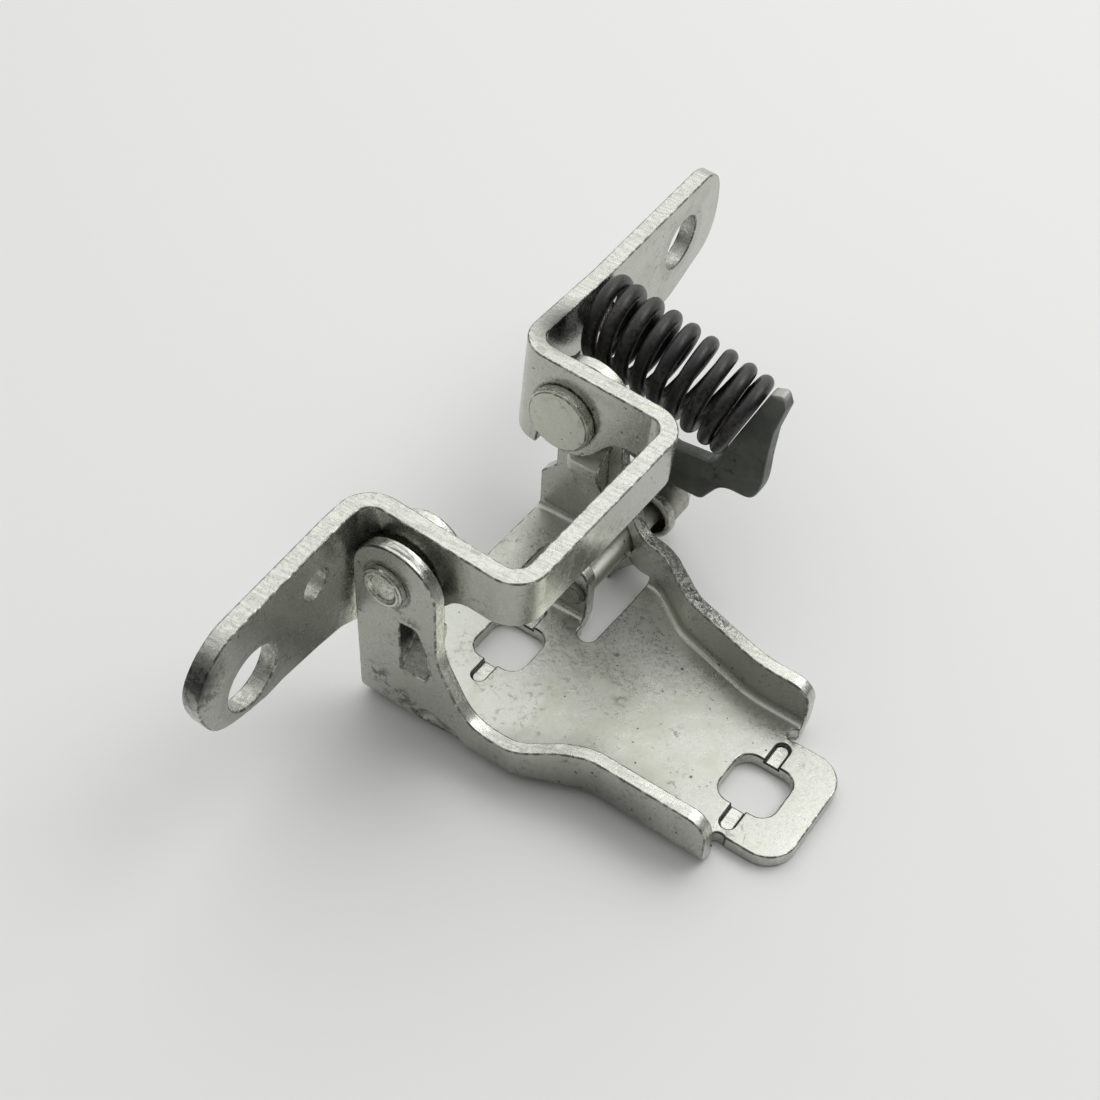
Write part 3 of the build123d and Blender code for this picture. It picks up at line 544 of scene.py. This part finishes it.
# Painted shade in a ring around the left pivot pin's rivet head.
RIVET_SHADE_RING = (((0.0, -34.5, 50.7), 6.0, 7.6, 0.8),)
WASHER_MARKS_AND_HEAD_SHADOWS = (
    # Rubbed washer marks around the wing holes.
    ((-15.2, 122.4, 50.4), 8.5, 12.5, 0.20),
    ((-9.8, -72.0, 45.0), 9.0, 12.0, 0.18),
    # Painted shadow in a ring around each pivot pin head.
    ((0.0, -27.8, 50.7), 9.6, 11.8, 0.9),
    ((0.0, 45.1, 50.7), 9.6, 11.8, 0.9),
)
HOLLOW_SHADES_AND_SPOTS = (
    # Painted shade in the stop hollows of both ears.
    ((3.0, -31.0, 34.0), 4.0, 7.5, 1.0, -34.1, -29.0),
    ((3.0, 48.3, 34.0), 4.0, 7.5, 1.0, 46.3, 51.4),
    # Painted shade in a pocket at the left flange's bend.
    ((15.0, -33.0, 4.0), 1.5, 4.2, 0.6),
    # Painted shade on the left flange's outer wall, darker towards the floor.
    ((50.0, -26.0, 2.0), 5.0, 16.0, 0.45),
    ((66.0, -26.0, 2.0), 5.0, 16.0, 0.45),
    ((36.0, -31.0, 2.0), 5.0, 13.0, 0.3),
    # Dark spots on the web.
    ((38.1, 13.9, 4.0), 0.5, 0.9, 0.6),
    ((54.7, 20.4, 4.0), 0.2, 0.6, 0.9),
    ((75.0, -7.7, 4.0), 0.2, 0.6, 0.9),
)
STRAP_SHADES = (
    # Painted shade in the inner corner of the right wing's bend.
    ((-8.0, 54.0, 65.0), 5.0, 13.0, 0.85),
    # Painted dark reflection on the left wing's cut end.
    ((-10.0, -89.0, 61.0), 3.0, 9.0, 0.8),
)
# Painted shade on the roller axle's end by the lanced tab.
PIN_SHADES = (((20.0, 17.0, 12.3), 3.6, 5.2, 0.6),)
# Painted shade inside the roller's hollow front.
ROLLER_SHADES = (((20.0, 58.0, 12.3), 5.8, 7.5, 0.95),)
# Burnished ear crest, crossed by painted dark reflection bands.
BURNISHED = (((1.0, -32.0, 63.0), 5.0, 15.0, 1.0),)
HOOK_TIP = ((49.5, 65.0, 70.5), 3.0, 4.2, 0.9)
# Painted shade on edges at the coined grooves beside the square holes.
GROOVE_SHADE_RIMS = tuple(
    ((x, y, 4.0), 6.0, 7.0, 0.9) for x in (12.5, 89.5) for y in (-12.0, 12.0)
)


def build_materials(settings):
    """All finishes of the hinge."""
    GROUPS["plating"] = plating_group()
    GROUPS["sheared_edge"] = edge_group()

    def shades_of(finish):
        return [tuple(getattr(settings, finish + kind)) for kind in ("_light", "_dark", "_tint")]

    MATERIALS["bracket"] = plated_sheet(
        "zinc_bracket",
        *shades_of("zinc"),
        0.28,
        marks=EAR_DENTS,
        rings=RIVET_SHADE_RING,
        shades=HOLLOW_SHADES_AND_SPOTS,
        shade_rims=GROOVE_SHADE_RIMS,
        rubbed=BURNISHED,
        torn=0.45,
    )
    MATERIALS["strap"] = plated_sheet(
        "zinc_strap",
        *shades_of("zinc"),
        0.22,
        marks=WING_DENTS_AND_DARK_REFLECTION,
        rings=WASHER_MARKS_AND_HEAD_SHADOWS,
        shades=STRAP_SHADES,
    )
    MATERIALS["pin"] = plated_sheet(
        "zinc_pin", *shades_of("pin"), 0.40, shades=PIN_SHADES
    )
    MATERIALS["roller"] = plated_sheet(
        "zinc_roller", *shades_of("roller"), 0.38, shades=ROLLER_SHADES
    )
    MATERIALS["bush"] = plated_sheet("bush_bronze", *shades_of("bush"), 0.42)
    MATERIALS["arm"] = phosphate_plate(
        "arm_phosphate",
        tuple(settings.arm_dark),
        tuple(settings.arm_light),
        0.5,
        HOOK_TIP,
    )
    MATERIALS["spring"] = spring_black(
        "spring_coat",
        tuple(settings.spring_dark),
        tuple(settings.spring_rubbed),
        0.37,
    )


# Pieces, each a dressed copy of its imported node


def dressed_copy(node, name, material, bevel=0.3, turn=28.0, segments=2, between=None):
    """A copy of a CAD node with merged points, rounded edges and smooth bends.

    It rides on the node's body, or turns smoothly from one body to another where between
    gives both bodies and the two points.
    """
    mesh = NODES[node].data.copy()
    mesh.name = name
    for attribute in list(mesh.attributes):
        if attribute.name in ("custom_normal", "sharp_edge", "sharp_face"):
            mesh.attributes.remove(attribute)
    form = bmesh.new()
    form.from_mesh(mesh)
    bmesh.ops.remove_doubles(form, verts=form.verts, dist=0.000002)
    bmesh.ops.dissolve_limit(
        form,
        angle_limit=math.radians(0.4),
        use_dissolve_boundaries=False,
        verts=form.verts,
        edges=form.edges,
    )
    form.normal_update()
    limit = math.radians(turn)
    sharp = [
        e
        for e in form.edges
        if len(e.link_faces) == 2 and e.calc_face_angle(0.0) > limit
    ]
    mark = form.faces.layers.float.new("sheared")
    mark_cut_faces(form, set(sharp), mark)
    if bevel > 0 and sharp:
        made = bmesh.ops.bevel(
            form,
            geom=sharp,
            offset=bevel * MM,
            offset_type="OFFSET",
            segments=segments,
            profile=0.5,
            affect="EDGES",
            material=-1,
            clamp_overlap=False,
        )
        for face in made["faces"]:
            face[mark] = 1.0
    bmesh.ops.triangulate(form, faces=form.faces)
    form.to_mesh(mesh)
    form.free()
    piece = bpy.data.objects.new(name, mesh)
    bpy.context.scene.collection.objects.link(piece)
    mesh.materials.clear()
    mesh.materials.append(material)
    for polygon in mesh.polygons:
        polygon.use_smooth = True
    weigh = piece.modifiers.new("even_normals", "WEIGHTED_NORMAL")
    weigh.keep_sharp = True
    weigh.weight = 60
    if between:
        first, second, start, end = between
        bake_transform(piece, first, second, start=start, end=end)
    else:
        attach(piece, BODY_OF[node])
    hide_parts(node)
    return piece


def mark_cut_faces(form, sharp, mark):
    """Marks the narrow strips between sharp edges, which are the cut faces of a sheet."""
    seen = set()
    for start in form.faces:
        if start in seen:
            continue
        seen.add(start)
        patch, border, stack = [], 0.0, [start]
        while stack:
            face = stack.pop()
            patch.append(face)
            for edge in face.edges:
                if edge in sharp:
                    border += edge.calc_length()
                    continue
                for other in edge.link_faces:
                    if other not in seen:
                        seen.add(other)
                        stack.append(other)
        area = sum(face.calc_area() for face in patch)
        narrow = border > 0 and area / border < CUT_STRIP * MM
        for face in patch:
            face[mark] = 0.5 if narrow else 0.0


def color_property(name, description, default):
    """A colour that the panel shows."""
    return FloatVectorProperty(
        name=name,
        description=description,
        subtype="COLOR",
        default=default,
        min=0.0,
        max=1.0,
    )


class HingeSettings(bpy.types.PropertyGroup):
    zinc_light: color_property(
        "Zinc light", "Brighter clouds of the zinc plate", (0.52, 0.525, 0.48)
    )
    zinc_dark: color_property(
        "Zinc dark", "Darker clouds of the zinc plate", (0.43, 0.44, 0.40)
    )
    zinc_tint: color_property(
        "Zinc tint", "Yellowish passivation in the mottling", (0.47, 0.465, 0.36)
    )
    pin_light: color_property(
        "Pin light", "Brighter clouds of pins and washers", (0.66, 0.66, 0.585)
    )
    pin_dark: color_property(
        "Pin dark", "Darker clouds of pins and washers", (0.53, 0.53, 0.47)
    )
    pin_tint: color_property(
        "Pin tint", "Yellowish stains of pins and washers", (0.60, 0.58, 0.46)
    )
    roller_light: color_property(
        "Roller light", "Brighter clouds of the roller", (0.48, 0.475, 0.43)
    )
    roller_dark: color_property(
        "Roller dark", "Darker clouds of the roller", (0.32, 0.315, 0.28)
    )
    roller_tint: color_property(
        "Roller tint", "Brownish stains of the roller", (0.42, 0.39, 0.31)
    )
    bush_light: color_property(
        "Bush light", "Brighter clouds of the bronze bushes", (0.45, 0.37, 0.23)
    )
    bush_dark: color_property(
        "Bush dark", "Darker clouds of the bronze bushes", (0.30, 0.24, 0.15)
    )
    bush_tint: color_property(
        "Bush tint", "Stains of the bronze bushes", (0.38, 0.32, 0.19)
    )
    arm_dark: color_property(
        "Arm dark", "Phosphate of the check arm", (0.12, 0.127, 0.116)
    )
    arm_light: color_property(
        "Arm dust", "Dusty parts of the check arm", (0.19, 0.20, 0.18)
    )
    spring_dark: color_property(
        "Spring black", "Coating of the spring wire", (0.007, 0.0075, 0.007)
    )
    spring_rubbed: color_property(
        "Spring rubbed", "Coating where it is rubbed thin", (0.070, 0.062, 0.048)
    )
    edge_radius: FloatProperty(
        name="Edge radius",
        description="Rounding of the cut sheet edges",
        subtype="DISTANCE",
        unit="LENGTH",
        precision=5,
        default=0.45 * MM,
        min=0.0,
        max=1.0 * MM,
    )
    edge_steps: IntProperty(
        name="Edge steps",
        description="Facets across a rounded edge",
        default=3,
        min=1,
        max=4,
    )
    floor_color: color_property("Floor", "Pale floor", (0.87, 0.87, 0.858))


class HINGE_OT_bracket(bpy.types.Operator):
    """Folded mounting bracket with ears, stops and lanced tab"""

    bl_idname = "hinge.bracket"
    bl_label = "Mounting bracket"

    def execute(self, context):
        s = context.scene.hinge
        dressed_copy(
            "base_bracket", "bracket_sheet", MATERIALS["bracket"], s.edge_radius / MM,
            segments=s.edge_steps,
        )
        return {"FINISHED"}


class HINGE_OT_strap(bpy.types.Operator):
    """Folded strap with two wings"""

    bl_idname = "hinge.strap"
    bl_label = "Winged strap"

    def execute(self, context):
        s = context.scene.hinge
        dressed_copy(
            "strap", "strap_plate", MATERIALS["strap"], s.edge_radius / MM,
            segments=s.edge_steps,
        )
        return {"FINISHED"}


class HINGE_OT_pivots(bpy.types.Operator):
    """Pivot pins, bushes, washers and the left head spacer"""

    bl_idname = "hinge.pivots"
    bl_label = "Pivot hardware"

    def execute(self, context):
        for node in ("pivot_pin_left", "pivot_pin_right"):
            dressed_copy(node, node + "_dressed", MATERIALS["pin"], 0.25)
        for node in ("washer_left", "washer_right", "head_spacer_left"):
            dressed_copy(node, node + "_dressed", MATERIALS["pin"], 0.15)
        for node in ("bush_left", "bush_right"):
            dressed_copy(node, node + "_dressed", MATERIALS["bush"], 0.1)
        return {"FINISHED"}


class HINGE_OT_check_arm(bpy.types.Operator):
    """Dark check arm and its cross pin"""

    bl_idname = "hinge.check_arm"
    bl_label = "Check arm"

    def execute(self, context):
        s = context.scene.hinge
        dressed_copy(
            "check_arm", "arm_plate", MATERIALS["arm"], s.edge_radius / MM,
            segments=s.edge_steps,
        )
        dressed_copy("arm_cross_pin", "arm_pin", MATERIALS["arm"], 0.15)
        return {"FINISHED"}


class HINGE_OT_spring(bpy.types.Operator):
    """Coil spring between the arm and the right wing"""

    bl_idname = "hinge.spring"
    bl_label = "Check spring"

    def execute(self, context):
        dressed_copy(
            "check_spring", "spring_coil", MATERIALS["spring"], 0.5, turn=60,
            between=("strap", "arm", SPRING_ON_WING, SPRING_ON_ARM),
        )
        return {"FINISHED"}


class HINGE_OT_roller(bpy.types.Operator):
    """Roller, its bush, axle and end washer"""

    bl_idname = "hinge.roller"
    bl_label = "Check roller"

    def execute(self, context):
        dressed_copy("check_roller", "roller_drum", MATERIALS["roller"], 0.2)
        dressed_copy("roller_bush", "roller_sleeve", MATERIALS["bush"], 0.1)
        dressed_copy("roller_axle", "axle_bar", MATERIALS["pin"], 0.2)
        dressed_copy("end_washer", "axle_washer", MATERIALS["pin"], 0.15)
        return {"FINISHED"}


class HINGE_OT_stage(bpy.types.Operator):
    """Pale floor, soft lamps and the camera"""

    bl_idname = "hinge.stage"
    bl_label = "Stage"

    def execute(self, context):
        build_floor(tuple(context.scene.hinge.floor_color))
        build_lamps()
        build_camera()
        return {"FINISHED"}


class HINGE_PT_panel(bpy.types.Panel):
    bl_label = "Truck door hinge"
    bl_idname = "HINGE_PT_panel"
    bl_space_type = "VIEW_3D"
    bl_region_type = "UI"
    bl_category = "Door hinge"

    def draw(self, context):
        for name in HingeSettings.__annotations__:
            self.layout.prop(context.scene.hinge, name)
        for operator in OPERATORS:
            self.layout.operator(operator.bl_idname)


# Floor, lamps, world and camera


FLOOR_GAP = 0.3 * MM  # keeps the floor just under the lowest face
FLOOR_REACH = 6.0
LAMP_AIM = (0.03, 0.0, 0.01)
KEY_LAMP = ((-0.40, 0.67, 0.89), (1.1, 1.0), 1.6)  # place, size and power
HIGH_LAMP = ((0.50, 0.75, 1.3), (1.0, 0.8), 6.4)
WINDOW_WAY = (-0.37, 0.56, 0.74)  # where the world is brightest
FRAME_PIXELS = 1100.0
FOCAL_PIXELS = 1683.89
SHIFT_PIXELS = (13.24, 9.78)
SENSOR_WIDTH = 36.0
CAMERA_PLACE = (0.17543, -0.23604, 0.35627)
CAMERA_AHEAD = (-0.36802, 0.55886, -0.74313)
CAMERA_RIGHT = (0.81383, 0.58015, 0.03326)


def build_floor(color):
    """A plain pale floor that meets the lowest point of the hinge."""
    form = bmesh.new()
    bmesh.ops.create_grid(form, x_segments=1, y_segments=1, size=FLOOR_REACH)
    mesh = bpy.data.meshes.new("floor")
    form.to_mesh(mesh)
    form.free()
    floor = bpy.data.objects.new("floor", mesh)
    bpy.context.scene.collection.objects.link(floor)
    floor.location = (0.0, 0.0, CAD_BOX[0][2] - FLOOR_GAP)
    material, tree, shader = start_material("floor_pale")
    shader.inputs["Base Color"].default_value = (*color, 1.0)
    shader.inputs["Roughness"].default_value = 0.6
    shader.inputs["Specular IOR Level"].default_value = 0.2
    mesh.materials.append(material)


def add_lamp(name, place, size, power):
    """A rectangular area lamp aimed at the hinge."""
    data = bpy.data.lights.new(name, "AREA")
    data.shape = "RECTANGLE"
    data.size, data.size_y = size
    data.energy = power
    lamp = bpy.data.objects.new(name, data)
    bpy.context.scene.collection.objects.link(lamp)
    lamp.location = place
    aim = Vector(LAMP_AIM) - Vector(place)
    lamp.rotation_mode = "QUATERNION"
    lamp.rotation_quaternion = aim.to_track_quat("-Z", "Y")
    return lamp


def build_lamps():
    """A broad window light from behind, a high lamp and a world that dims away from them."""
    add_lamp("key", *KEY_LAMP)
    add_lamp("high", *HIGH_LAMP)
    world = bpy.data.worlds.new("pale")
    bpy.context.scene.world = world
    world.use_nodes = True
    tree = world.node_tree
    back = tree.nodes["Background"]
    way = tree.nodes.new("ShaderNodeTexCoord").outputs["Generated"]
    facing = tree.nodes.new("ShaderNodeVectorMath")
    facing.operation = "DOT_PRODUCT"
    tree.links.new(way, facing.inputs[0])
    facing.inputs[1].default_value = WINDOW_WAY
    share = range_node(tree, facing.outputs["Value"], 0.05, 0.9, 0.20, 1.0)
    tree.links.new(
        mix_color(tree, share, (0.0, 0.0, 0.0), (0.93, 0.94, 0.93)), back.inputs["Color"]
    )
    back.inputs["Strength"].default_value = 1.03


def build_camera():
    """The camera that took the photograph, fitted to its edges and holes."""
    data = bpy.data.cameras.new("camera")
    data.sensor_width = SENSOR_WIDTH
    data.lens = FOCAL_PIXELS / FRAME_PIXELS * SENSOR_WIDTH
    data.shift_x = SHIFT_PIXELS[0] / FRAME_PIXELS
    data.shift_y = SHIFT_PIXELS[1] / FRAME_PIXELS
    data.clip_start = 0.01
    data.clip_end = 20.0
    camera = bpy.data.objects.new("camera", data)
    bpy.context.scene.collection.objects.link(camera)
    ahead = Vector(CAMERA_AHEAD).normalized()
    right = Vector(CAMERA_RIGHT).normalized()
    up = right.cross(ahead).normalized()
    turn = Matrix((right, up, -ahead)).transposed()
    camera.matrix_world = Matrix.Translation(CAMERA_PLACE) @ turn.to_4x4()
    bpy.context.scene.camera = camera


OPERATORS = (
    HINGE_OT_bracket,
    HINGE_OT_strap,
    HINGE_OT_pivots,
    HINGE_OT_check_arm,
    HINGE_OT_spring,
    HINGE_OT_roller,
    HINGE_OT_stage,
)


def register():
    bpy.utils.register_class(HingeSettings)
    for operator in OPERATORS:
        bpy.utils.register_class(operator)
    bpy.utils.register_class(HINGE_PT_panel)
    bpy.types.Scene.hinge = PointerProperty(type=HingeSettings)


def unregister():
    del bpy.types.Scene.hinge
    bpy.utils.unregister_class(HINGE_PT_panel)
    for operator in reversed(OPERATORS):
        bpy.utils.unregister_class(operator)
    bpy.utils.unregister_class(HingeSettings)


def main():
    register()
    scene = bpy.context.scene
    scene.view_settings.view_transform = "Standard"
    build_materials(scene.hinge)
    bpy.ops.hinge.bracket()
    bpy.ops.hinge.strap()
    bpy.ops.hinge.pivots()
    bpy.ops.hinge.check_arm()
    bpy.ops.hinge.spring()
    bpy.ops.hinge.roller()
    bpy.ops.hinge.stage()


if __name__ == "__main__":
    main()
